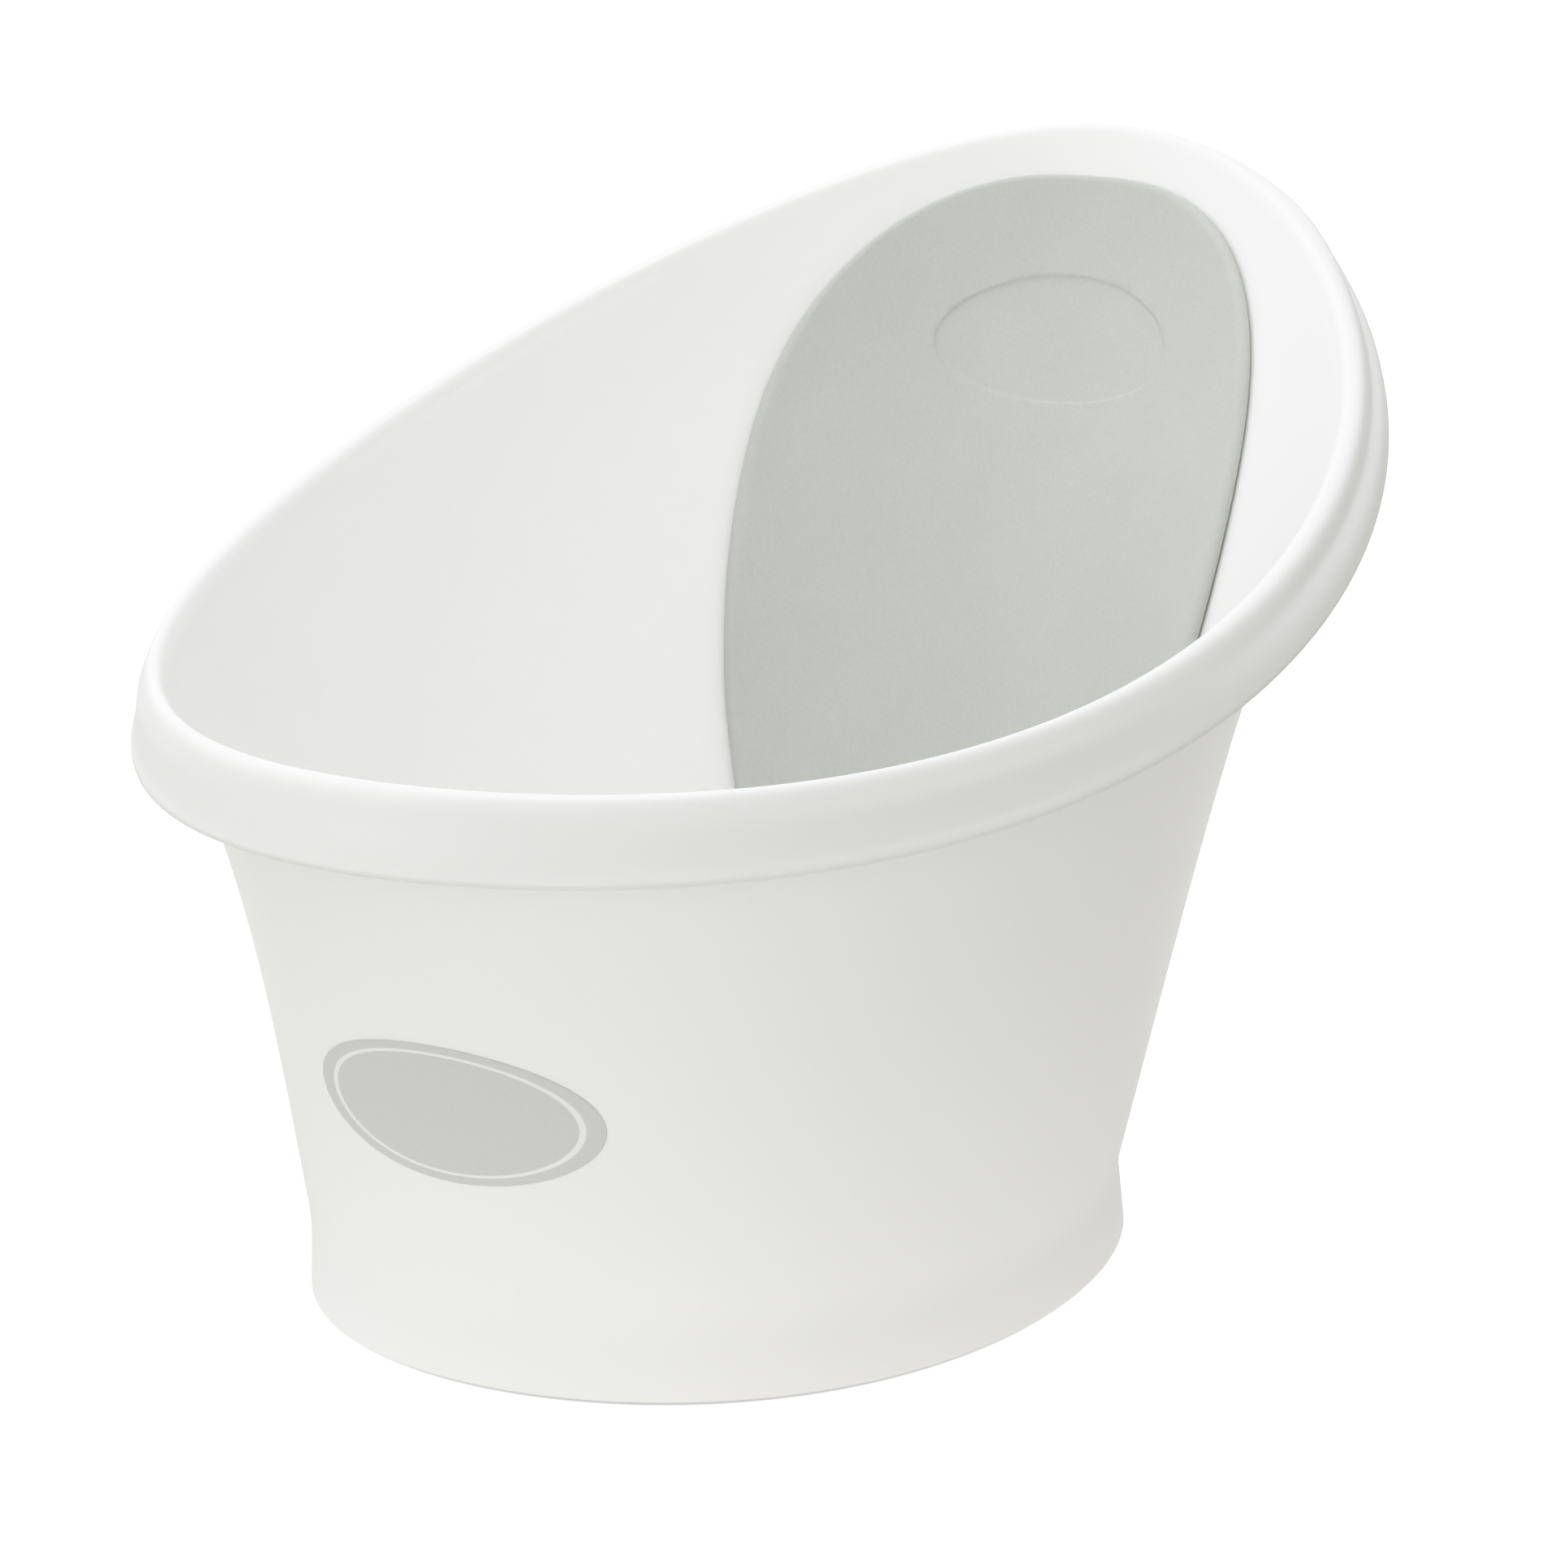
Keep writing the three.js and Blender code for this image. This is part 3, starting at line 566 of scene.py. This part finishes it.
def build_pad():
    outline = pad_outline(300)
    radius = 2.6                  # eased front edge
    quarter = [math.pi / 2 * k / 8 for k in range(9)]
    side = [(radius * (1 - math.sin(a)), PAD_FRONT - radius * (1 - math.cos(a)))
            for a in quarter]
    # the foam beds down on the wall round its edge, with a slightly open joint on the -Y side
    opening = np.clip((-(outline[:, 0] - PAD_CENTRE[0]) / 98.0 - 0.2) / 0.6, 0, 1)
    opening = opening * opening * (3 - 2 * opening)
    lip = WALL + 0.22 + 0.42 * opening
    side += [(0.0, PAD_FRONT - radius - 0.4), (0.6 * opening, lip + 0.5),
             (0.12 + 0.75 * opening, lip + 0.12), (0.5 + 0.75 * opening, lip), (5.0, lip),
             (8.5, lip + 0.1), (10.2, PAD_BACK)]
    rings = [*np.linspace(0.03, 0.97, 48), 0.985]
    pad = wall_sheet("backrest_foam_pad", outline, PAD_CENTRE, rings, side, sharp=50)
    # shallow plain oval recess
    deep, above = PAD_FRONT - RECESS_DEEP, PAD_FRONT + 2.0
    side = [(1.1, deep), (0.75, deep + 0.06), (0.35, deep + 0.35), (0.05, PAD_FRONT - 0.04),
            (-0.3, PAD_FRONT + 0.25), (-0.5, above)]
    recess = wall_sheet("recess", ellipse_outline(RECESS_CENTRE, RECESS_HALF, 160),
                        RECESS_CENTRE, np.linspace(0.05, 0.98, 16), side, sharp=50)
    boolean(pad, recess, "DIFFERENCE")
    finish_mesh(pad, 50)
    return pad


def build_film():
    side = [(0.3, FILM_FRONT), (0.0, FILM_FRONT - 0.1), (0.0, FILM_BACK + 0.1), (0.3, FILM_BACK)]
    return wall_sheet("backrest_adhesive_film", inset(pad_outline(220), 12.0), PAD_CENTRE,
                      np.linspace(0.04, 0.98, 30), side, sharp=60)


def build_badge():
    front, back = -(BADGE_LIFT + BADGE_T), -BADGE_LIFT
    side = [(0.45, front), (0.2, front + 0.03), (0.03, front + 0.12), (0.0, front + 0.2),
            (0.0, back - 0.03), (0.1, back)]
    return wall_sheet("front_badge_print", ellipse_outline(BADGE_CENTRE, BADGE_HALF, 220),
                      BADGE_CENTRE, np.linspace(0.04, 0.985, 30), side, sharp=60,
                      start=math.pi, seek=0.0)


# ---------------------------------------------------------------- drain plug and feet
# plug: radius, z, corner radius
PLUG_PROFILE = [
    (0, 9.6, 0), (9.2, 9.6, 0.5), (9.2, 10.6, 0.4), (10.8, 10.6, 0.4),
    (DRAIN_HOLE_R - PLUG_GAP - 0.1, DRAIN_SEAT_Z + PLUG_GAP, 0.5),
    (DRAIN_SEAT_R - PLUG_GAP, DRAIN_SEAT_Z + PLUG_GAP, 0.5),
    (DRAIN_SEAT_R - PLUG_GAP, PLUG_TOP - 0.2, 0.8), (DRAIN_SEAT_R - 2.2, PLUG_TOP, 0.7),
    (13.5, PLUG_TOP - 0.55, 0.8), (9.5, PLUG_TOP - 0.55, 0.8), (8.0, PLUG_TOP, 0.8),
    (0, PLUG_TOP, 0)]
# pull tab; heights are above its root, which is sunk into the plug
TAB_ROOT = PLUG_TOP - 0.6
TAB_R, TAB_Z, TAB_FLARE, TAB_DROP = 7.3, 7.2, 1.2, 8.2
TAB_HOLE_R, TAB_HOLE_Z, TAB_POINTS = 3.5, 7.4, 72
# tab section: fraction from the hole to the outer edge, half thickness
TAB_SECTION = [(0.0, 0.0), (0.05, 0.75), (0.16, 1.3), (0.32, 1.65), (0.68, 1.65), (0.84, 1.3),
               (0.95, 0.75), (1.0, 0.0)]
# foot, from the grooved sole up the stem: radius, z
FOOT_PROFILE = (
    (0, 0.35), (2.6, 0.35), (3.1, 0.0), (5.0, 0.0), (5.4, 0.5), (6.2, 0.5), (6.6, 0.0),
    (8.2, 0.0), (8.6, 0.45), (9.2, 0.45), (9.6, 0.0), (FOOT_R - 0.9, 0.0), (FOOT_R, 1.2),
    (FOOT_R, FOOT_BOSS_Z - 1.0), (FOOT_R - 0.6, FOOT_BOSS_Z - 0.3),
    (FOOT_STEM_R, FOOT_BOSS_Z - 0.3), (FOOT_STEM_R, FOOT_HOLE_TOP - 1.2),
    (FOOT_STEM_R - 0.8, FOOT_HOLE_TOP - 0.4), (0, FOOT_HOLE_TOP - 0.4))


def tab_edge(angle):
    """The tongue's outer edge (y, z): round above, flared and squarer towards its root."""
    sine = math.sin(angle)
    y, z = TAB_R * sine, TAB_Z + TAB_R * math.cos(angle)
    if z < TAB_Z:
        down = (TAB_Z - z) / TAB_R
        square = abs(sine) ** 0.35 if abs(sine) > 1e-6 else 0.0
        y = math.copysign(TAB_R + TAB_FLARE * down ** 2, sine) * square
        z = TAB_Z - TAB_DROP * down
    return y, z


def build_tab(x):
    """A tongue across X with a hole, thick in the middle and eased at its edges."""
    angles = 2 * math.pi * np.arange(TAB_POINTS) / TAB_POINTS
    outer = np.array([tab_edge(angle) for angle in angles])
    hole = np.stack([TAB_HOLE_R * np.sin(angles), TAB_HOLE_Z + TAB_HOLE_R * np.cos(angles)], -1)
    rows = TAB_SECTION + [(f, -half) for f, half in TAB_SECTION[-2:0:-1]]
    verts, faces = [], []
    for j, (f, offset) in enumerate(rows):
        verts += [(x + offset, y, TAB_ROOT + z) for y, z in hole + (outer - hole) * f]
        here, there = j * TAB_POINTS, (j + 1) % len(rows) * TAB_POINTS
        for k in range(TAB_POINTS):
            k2 = (k + 1) % TAB_POINTS
            faces.append((here + k, here + k2, there + k2, there + k))
    return new_object("tab", verts, faces, sharp=80)


def build_plug():
    x, _ = node_centre("drain_plug")
    plug = lathe("drain_stopper", rounded(PLUG_PROFILE, 5), 120, x, sharp=50)
    boolean(plug, build_tab(x), "UNION")
    finish_mesh(plug, 45)
    return plug


def build_foot(node):
    profile = rounded([(r, z, 0.25) for r, z in FOOT_PROFILE], 3)
    return lathe(node + "_pad", profile, 72, *node_centre(node), sharp=45)


# ---------------------------------------------------------------- shader graphs
def srgb(*levels):
    """Linear colour from sRGB levels of 0 to 255."""
    return (*(level / 255 / 12.92 if level <= 10.31 else ((level / 255 + 0.055) / 1.055) ** 2.4
              for level in levels), 1.0)


class Graph:
    """Short calls for building a node tree; each value may be a constant or an output."""

    def __init__(self, tree):
        self.tree = tree
        tree.nodes.clear()

    def feed(self, node, inputs):
        for key, value in inputs.items():
            if isinstance(value, bpy.types.NodeSocket):
                self.tree.links.new(value, node.inputs[key])
            else:
                node.inputs[key].default_value = value

    def node(self, kind, inputs=None, **props):
        made = self.tree.nodes.new(kind)
        for key, value in props.items():
            setattr(made, key, value)
        self.feed(made, inputs or {})
        return made

    def vector(self, operation, inputs, output="Vector"):
        return self.node("ShaderNodeVectorMath", inputs, operation=operation).outputs[output]

    def math(self, operation, *values):
        return self.node("ShaderNodeMath", dict(enumerate(values)), operation=operation).outputs[0]

    def mix(self, factor, first, second):
        inputs = {0: factor, 6: first, 7: second}
        return self.node("ShaderNodeMix", inputs, data_type="RGBA").outputs[2]

    def camera_ray(self):
        return self.node("ShaderNodeLightPath").outputs["Is Camera Ray"]

    def lobes(self, direction, lobes):
        """Sum of soft coloured lobes: axis, tightness, colour."""
        total = None
        for axis, tightness, tint in lobes:
            facing = self.vector("DOT_PRODUCT", {0: direction, 1: axis}, "Value")
            glow = self.math("POWER", self.math("MAXIMUM", facing, 0.0), tightness)
            colour = self.vector("SCALE", {0: tint, "Scale": glow})
            total = self.vector("ADD", {0: total, 1: colour}) if total else colour
        return total


class Material(Graph):
    def __init__(self, name):
        self.mat = bpy.data.materials.new(name)
        self.mat.use_nodes = True
        super().__init__(self.mat.node_tree)
        output = self.node("ShaderNodeOutputMaterial")
        self.bsdf = self.node("ShaderNodeBsdfPrincipled")
        self.feed(output, {0: self.bsdf.outputs[0]})
        self.coord = self.node("ShaderNodeTexCoord").outputs["Object"]

    def surface(self, inputs):
        self.feed(self.bsdf, inputs)
        return self.mat

    def noise(self, scale, detail, rough):
        inputs = {"Scale": scale, "Detail": detail, "Roughness": rough, "Vector": self.coord}
        return self.node("ShaderNodeTexNoise", inputs).outputs["Fac"]

    def remap(self, value, span, to, smooth=False):
        inputs = {"From Min": span[0], "From Max": span[1], "To Min": to[0], "To Max": to[1],
                  "Value": value}
        curve = "SMOOTHSTEP" if smooth else "LINEAR"
        return self.node("ShaderNodeMapRange", inputs, interpolation_type=curve).outputs["Result"]

    def shade(self, value, colours, span=(0.3, 0.7), smooth=False):
        """Mix of two sRGB colours as a value crosses its span."""
        factor = self.remap(value, span=span, to=(0.0, 1.0), smooth=smooth)
        return self.mix(factor, srgb(*colours[0]), srgb(*colours[1]))

    def bump(self, height, strength, distance, normal=None):
        inputs = {"Strength": strength, "Distance": distance, "Height": height}
        if normal is not None:
            inputs["Normal"] = normal
        return self.node("ShaderNodeBump", inputs).outputs[0]

    def oval_part(self, value, centre, half):
        """Offset of a coordinate from a centre in half lengths, both in millimetres."""
        return self.math("DIVIDE", self.math("SUBTRACT", value, centre * MM), half * MM)

    def hypot(self, first, second):
        return self.math("SQRT", self.math("ADD", self.math("MULTIPLY", first, first),
                                           self.math("MULTIPLY", second, second)))


# ---------------------------------------------------------------- materials
def white_plastic():
    mat = Material("white_polypropylene")
    big = mat.noise(scale=4.0, detail=3.0, rough=0.5)
    fine = mat.noise(scale=900.0, detail=2.0, rough=0.6)
    mid = mat.noise(scale=60.0, detail=3.0, rough=0.55)
    colour = mat.shade(big, colours=((248, 248, 246), (250, 250, 249)), smooth=True)
    # painted shade: a darker grey mixed in along the lower edges of the skirt and the base ring
    line = mat.node("ShaderNodeAttribute", attribute_name="painted_edge_shade").outputs["Fac"]
    waves = mat.bump(mid, strength=0.10, distance=0.0004)
    return mat.surface({
        "Base Color": mat.mix(line, colour, srgb(206, 206, 203)),
        "Roughness": mat.math("ADD", mat.remap(mid, span=(0.3, 0.7), to=(0.30, 0.36)),
                              mat.remap(fine, span=(0.2, 0.8), to=(0.0, 0.05))),
        "IOR": 1.49,
        "Specular IOR Level": 0.5,
        "Subsurface Weight": 0.12,
        "Subsurface Radius": (1.0, 0.95, 0.9),
        "Subsurface Scale": 0.003,
        "Normal": mat.bump(fine, strength=0.12, distance=0.00006, normal=waves)})


def grey_foam():
    mat = Material("grey_eva_foam")
    cloudy = mat.noise(scale=14.0, detail=4.0, rough=0.6)
    grain = mat.noise(scale=850.0, detail=3.0, rough=0.7)
    cells = mat.node("ShaderNodeTexVoronoi", {"Scale": 1100.0, "Vector": mat.coord},
                     feature="F1").outputs["Distance"]
    clouds = mat.shade(cloudy, colours=((199, 201, 196), (202, 204, 199)), span=(0.32, 0.68),
                       smooth=True)
    specks = mat.shade(grain, colours=((190, 192, 187), (211, 213, 208)), span=(0.35, 0.65))
    speck_share = 0.22
    rough_grain = mat.bump(grain, strength=0.28, distance=0.00025)
    return mat.surface({
        "Base Color": mat.mix(speck_share, clouds, specks),
        "Roughness": mat.remap(grain, span=(0.3, 0.7), to=(0.78, 0.92)),
        "Specular IOR Level": 0.28,
        "Sheen Weight": 0.12,
        "Sheen Roughness": 0.5,
        "Normal": mat.bump(cells, strength=0.16, distance=0.00018, normal=rough_grain)})


def grey_print():
    """Grey ink with a pale oval line just inside its edge."""
    mat = Material("grey_vinyl_print")
    split = mat.node("ShaderNodeSeparateXYZ", {0: mat.coord})
    across, upward = (mat.oval_part(split.outputs[k + 1], BADGE_CENTRE[k], BADGE_HALF[k])
                      for k in (0, 1))
    reach = mat.hypot(across, upward)
    band = mat.math("MULTIPLY", mat.remap(reach, span=(0.845, 0.855), to=(0.0, 1.0)),
                    mat.remap(reach, span=(0.885, 0.895), to=(1.0, 0.0)))
    grain = mat.noise(scale=1400.0, detail=2.0, rough=0.6)
    ink = mat.shade(grain, colours=((213, 213, 212), (217, 217, 216)))
    return mat.surface({
        "Base Color": mat.mix(band, ink, srgb(243, 243, 242)),
        "Roughness": mat.remap(grain, span=(0.3, 0.7), to=(0.42, 0.5)),
        "Normal": mat.bump(grain, strength=0.1, distance=0.00004)})


def adhesive_film():
    mat = Material("adhesive_film")
    fine = mat.noise(scale=500.0, detail=3.0, rough=0.6)
    return mat.surface({
        "Base Color": mat.shade(fine, colours=((224, 224, 218), (232, 232, 227))),
        "Roughness": mat.remap(fine, span=(0.3, 0.7), to=(0.5, 0.65)),
        "Normal": mat.bump(fine, strength=0.15, distance=0.0001)})


def silicone():
    mat = Material("grey_silicone")
    fine = mat.noise(scale=600.0, detail=3.0, rough=0.6)
    big = mat.noise(scale=40.0, detail=2.0, rough=0.5)
    return mat.surface({
        "Base Color": mat.shade(big, colours=((186, 191, 185), (193, 197, 191))),
        "Roughness": mat.remap(fine, span=(0.3, 0.7), to=(0.46, 0.58)),
        "Subsurface Weight": 0.2,
        "Subsurface Radius": (1.0, 0.9, 0.8),
        "Subsurface Scale": 0.003,
        "Normal": mat.bump(fine, strength=0.15, distance=0.00006)})


def foot_rubber():
    mat = Material("foot_rubber")
    fine = mat.noise(scale=900.0, detail=4.0, rough=0.65)
    return mat.surface({
        "Base Color": mat.shade(fine, colours=((158, 163, 158), (170, 174, 169))),
        "Roughness": mat.remap(fine, span=(0.3, 0.7), to=(0.68, 0.8)),
        "Normal": mat.bump(fine, strength=0.3, distance=0.00012)})


# ---------------------------------------------------------------- assembly
def place(obj, body, node, material):
    obj.data.materials.clear()
    obj.data.materials.append(material)
    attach(obj, body)
    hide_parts(node)


WHITE, FOAM, PRINT = white_plastic(), grey_foam(), grey_print()
FILM_SHEET, SILICONE, RUBBER = adhesive_film(), silicone(), foot_rubber()
place(build_tub(), "tub", "tub_shell", WHITE)
place(build_pad(), "tub", "backrest_pad", FOAM)
place(build_film(), "tub", "backrest_adhesive", FILM_SHEET)
place(build_badge(), "tub", "front_badge", PRINT)
place(build_plug(), "plug", "drain_plug", SILICONE)
for node in FEET:
    place(build_foot(node), "tub", node, RUBBER)

# ---------------------------------------------------------------- stage, light and camera
AZIMUTH, ELEVATION, ROLL = (math.radians(angle) for angle in (-60.479, 16.930, -2.2615))
TARGET = Vector((-6.595, 0.0, 156.844)) * MM
DISTANCE = 2.489734     # metres
LENS = 159.085863       # millimetres, on the sensor below
SENSOR = 36.0
BACK = Vector((math.sin(AZIMUTH) * math.cos(ELEVATION), -math.cos(AZIMUTH) * math.cos(ELEVATION),
               math.sin(ELEVATION)))
RIGHT = (-BACK).cross(Vector((0, 0, 1))).normalized()
UP = RIGHT.cross(-BACK)
TO_CAMERA = Vector((BACK.x, BACK.y, 0)).normalized()

# soft panels of the studio: azimuth, elevation, tightness, colour strength
PANELS = (
    (0, 90, 12, (1.503, 1.494, 1.592)), (0, 90, 40, (3.000, 3.000, 3.000)),
    (180, 66, 20, (1.536, 1.540, 1.616)), (0, 40, 8, (0.127, 0.131, 0.113)),
    (120, 40, 8, (1.646, 1.655, 1.700)), (240, 40, 8, (0.785, 0.800, 0.842)),
    (300, 40, 8, (0.700, 0.698, 0.661)), (0, 8, 8, (1.508, 1.498, 1.495)),
    (60, 8, 8, (1.800, 1.800, 1.800)), (120, 8, 8, (0.204, 0.220, 0.215)),
    (180, 8, 8, (1.511, 1.509, 1.528)))
BACKDROP = (1.6, 1.6, 1.6, 1.0)
# table bounce near the object and further out: towards the camera, left, behind and right
NEAR = ((0.937, 0.925, 0.889), (0.716, 0.736, 0.686), (1.200, 1.200, 1.200), (0.772, 0.760, 0.739))
FAR = ((0.509, 0.559, 0.515), (0.482, 0.450, 0.436), (0.892, 0.884, 0.862), (0.327, 0.314, 0.233))
BOUNCE_TIGHTNESS = 2.0
# tones below 0.8 pass unchanged and brighter whites roll off gently up to WHITE_LEVEL
WHITE_LEVEL = 1.5
ROLL_OFF = [(x, x) for x in (0.15, 0.3, 0.45, 0.6, 0.7, 0.8)] + [
    (x, 0.8 + 0.2 * (1 - (1 - (x - 0.8) / 0.7) ** 3.5))
    for x in (0.87, 0.94, 1.0, 1.07, 1.15, 1.25, 1.38)]


def toward(azimuth, elevation):
    """Unit direction: azimuth turns from the camera's side to its left, elevation up; degrees."""
    turn, lift = math.radians(azimuth), math.radians(elevation)
    level = TO_CAMERA * math.cos(turn) - RIGHT * math.sin(turn)
    return level * math.cos(lift) + Vector((0, 0, 1)) * math.sin(lift)


def set_tones():
    scene.cycles.diffuse_bounces = 8      # the white bowl lights itself
    scene.cycles.max_bounces = 12
    view = scene.view_settings
    view.view_transform = "Standard"
    view.look = "None"
    view.exposure = 0.0
    view.gamma = 1.0
    mapping = view.curve_mapping
    mapping.white_level = (WHITE_LEVEL,) * 3
    for x, y in ROLL_OFF:
        mapping.curves[3].points.new(x / WHITE_LEVEL, y)
    mapping.update()
    view.use_curve_mapping = True


def build_world():
    world = bpy.data.worlds.new("studio")
    world.use_nodes = True
    scene.world = world
    graph = Graph(world.node_tree)
    direction = graph.node("ShaderNodeTexCoord").outputs["Generated"]
    light = graph.lobes(direction, [(toward(azimuth, elevation), tightness, tint)
                                    for azimuth, elevation, tightness, tint in PANELS])
    colour = graph.mix(graph.camera_ray(), light, BACKDROP)
    background = graph.node("ShaderNodeBackground", {"Color": colour})
    graph.node("ShaderNodeOutputWorld", {0: background.outputs[0]})


def base_oval_reach(mat, position):
    """How far out a floor point lies: 1 on the base oval."""
    split = mat.node("ShaderNodeSeparateXYZ", {0: position})
    along = mat.oval_part(split.outputs[0], BASE_CX, BASE_A)
    width = mat.math("MULTIPLY", along, BASE_SHAPE[2])
    for coefficient in (BASE_SHAPE[1], BASE_SHAPE[0]):
        width = mat.math("MULTIPLY", mat.math("ADD", width, coefficient), along)
    width = mat.math("ADD", width, 1.0)
    across = mat.math("DIVIDE", mat.math("DIVIDE", split.outputs[1], BASE_B * MM), width)
    return mat.hypot(along, across)


def floor_material():
    """White to the camera with a painted shadow under the tub, and a coloured bounce to everything
    else.
    """
    mat = Material("studio_floor")
    position = mat.node("ShaderNodeNewGeometry").outputs["Position"]
    radius = mat.vector("LENGTH", {0: position}, "Value")
    heading = mat.vector("NORMALIZE", {0: position})
    away = mat.remap(radius, span=(0.35, 0.9), to=(0.0, 1.0), smooth=True)
    near, far = (mat.lobes(heading, [(toward(90 * k, 0), BOUNCE_TIGHTNESS, tint)
                                     for k, tint in enumerate(tints)]) for tints in (NEAR, FAR))
    bounce = mat.mix(away, near, far)
    # painted shadow on the floor under the tub and at its base edge
    painted_shadow = mat.remap(base_oval_reach(mat, position), span=(0.975, 0.995), to=(0.6, 1.6),
                        smooth=True)
    grain = mat.remap(mat.noise(scale=40.0, detail=3.0, rough=0.5), span=(0.3, 0.7),
                      to=(0.998, 1.004))
    seen = mat.math("MULTIPLY", painted_shadow, grain)
    return mat.surface({
        "Base Color": (0.0, 0.0, 0.0, 1.0),
        "Specular IOR Level": 0.0,
        "Roughness": 1.0,
        "Emission Color": mat.mix(mat.camera_ray(), bounce, seen),
        "Emission Strength": 1.0})


def build_floor():
    material = floor_material()
    disc = bmesh.new()
    bmesh.ops.create_circle(disc, cap_ends=True, segments=96, radius=14.0)
    mesh = bpy.data.meshes.new("studio_floor")
    disc.to_mesh(mesh)
    disc.free()
    floor = bpy.data.objects.new("studio_floor", mesh)
    scene.collection.objects.link(floor)
    mesh.materials.append(material)
    floor.location = (0, 0, -0.0002)


def build_camera():
    data = bpy.data.cameras.new("camera")
    data.sensor_width = SENSOR
    data.lens = LENS
    camera = bpy.data.objects.new("camera", data)
    scene.collection.objects.link(camera)
    right = RIGHT * math.cos(ROLL) + UP * math.sin(ROLL)
    top = UP * math.cos(ROLL) - RIGHT * math.sin(ROLL)
    columns = (right, top, BACK, TARGET + BACK * DISTANCE)
    camera.matrix_world = Matrix([[column[k] for column in columns] for k in range(3)]
                                 + [[0, 0, 0, 1]])
    data.clip_start, data.clip_end = 0.05, 60.0
    scene.camera = camera


set_tones()
build_world()
build_floor()
build_camera()
